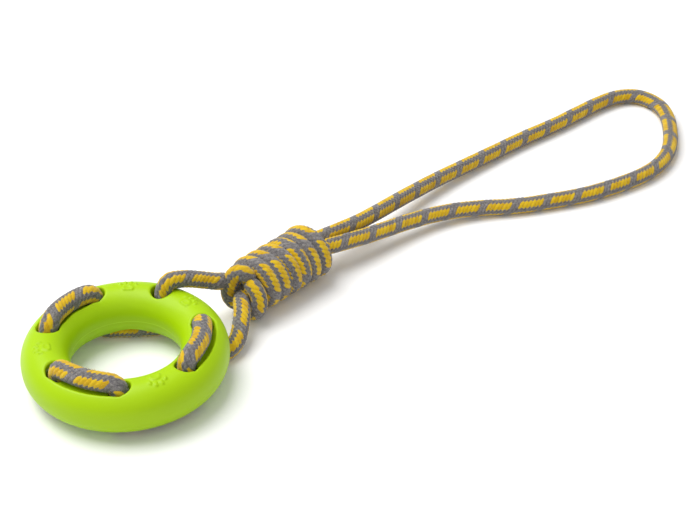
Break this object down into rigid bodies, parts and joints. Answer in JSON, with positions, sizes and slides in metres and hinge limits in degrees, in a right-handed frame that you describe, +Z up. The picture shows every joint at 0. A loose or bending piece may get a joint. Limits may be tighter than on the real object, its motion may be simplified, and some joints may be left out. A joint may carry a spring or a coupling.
{
  "type": "dog tug toy",
  "caption": "Moulded rubber ring laced with braided rope, which is bound into a wrapped knot and ends in a long hand loop, for tug and throw play with a dog.",
  "frame": {"origin": "centre of the ring, on the ground that the toy lies on", "axes": "+Z up, through the ring's opening; +X along the toy, from the ring towards the hand loop"},
  "size_m": [0.5118, 0.1146, 0.0418],
  "materials": {
    "ring_rubber": "smooth satin moulded thermoplastic rubber, lime green all through",
    "rope_braid": "braided polyester rope, heather grey with four rows of yellow plait stitches"
  },
  "bodies": {
    "ring": {"ring": "ring_rubber", "ring_lacing": "rope_braid", "upper_leg": "rope_braid", "lower_leg": "rope_braid"},
    "knot": {"knot_wraps": "rope_braid", "knot_strand_upper": "rope_braid", "knot_strand_lower": "rope_braid", "knot_lock_turn": "rope_braid", "knot_tuck_turn": "rope_braid"},
    "loop": {"hand_loop": "rope_braid"}
  },
  "joints": [
    {"name": "knot_bend", "type": "hinge", "parent": "ring", "child": "knot", "pos_m": [0.0742, -0.00641, 0.0165], "axis": [0.1311, -0.8986, -0.4188], "range_deg": [0, 70]},
    {"name": "loop_bend", "type": "hinge", "parent": "knot", "child": "loop", "pos_m": [0.15105, 0.01269, 0.018], "axis": [0.1444, -0.9895, 0], "range_deg": [0, 80]}
  ]
}
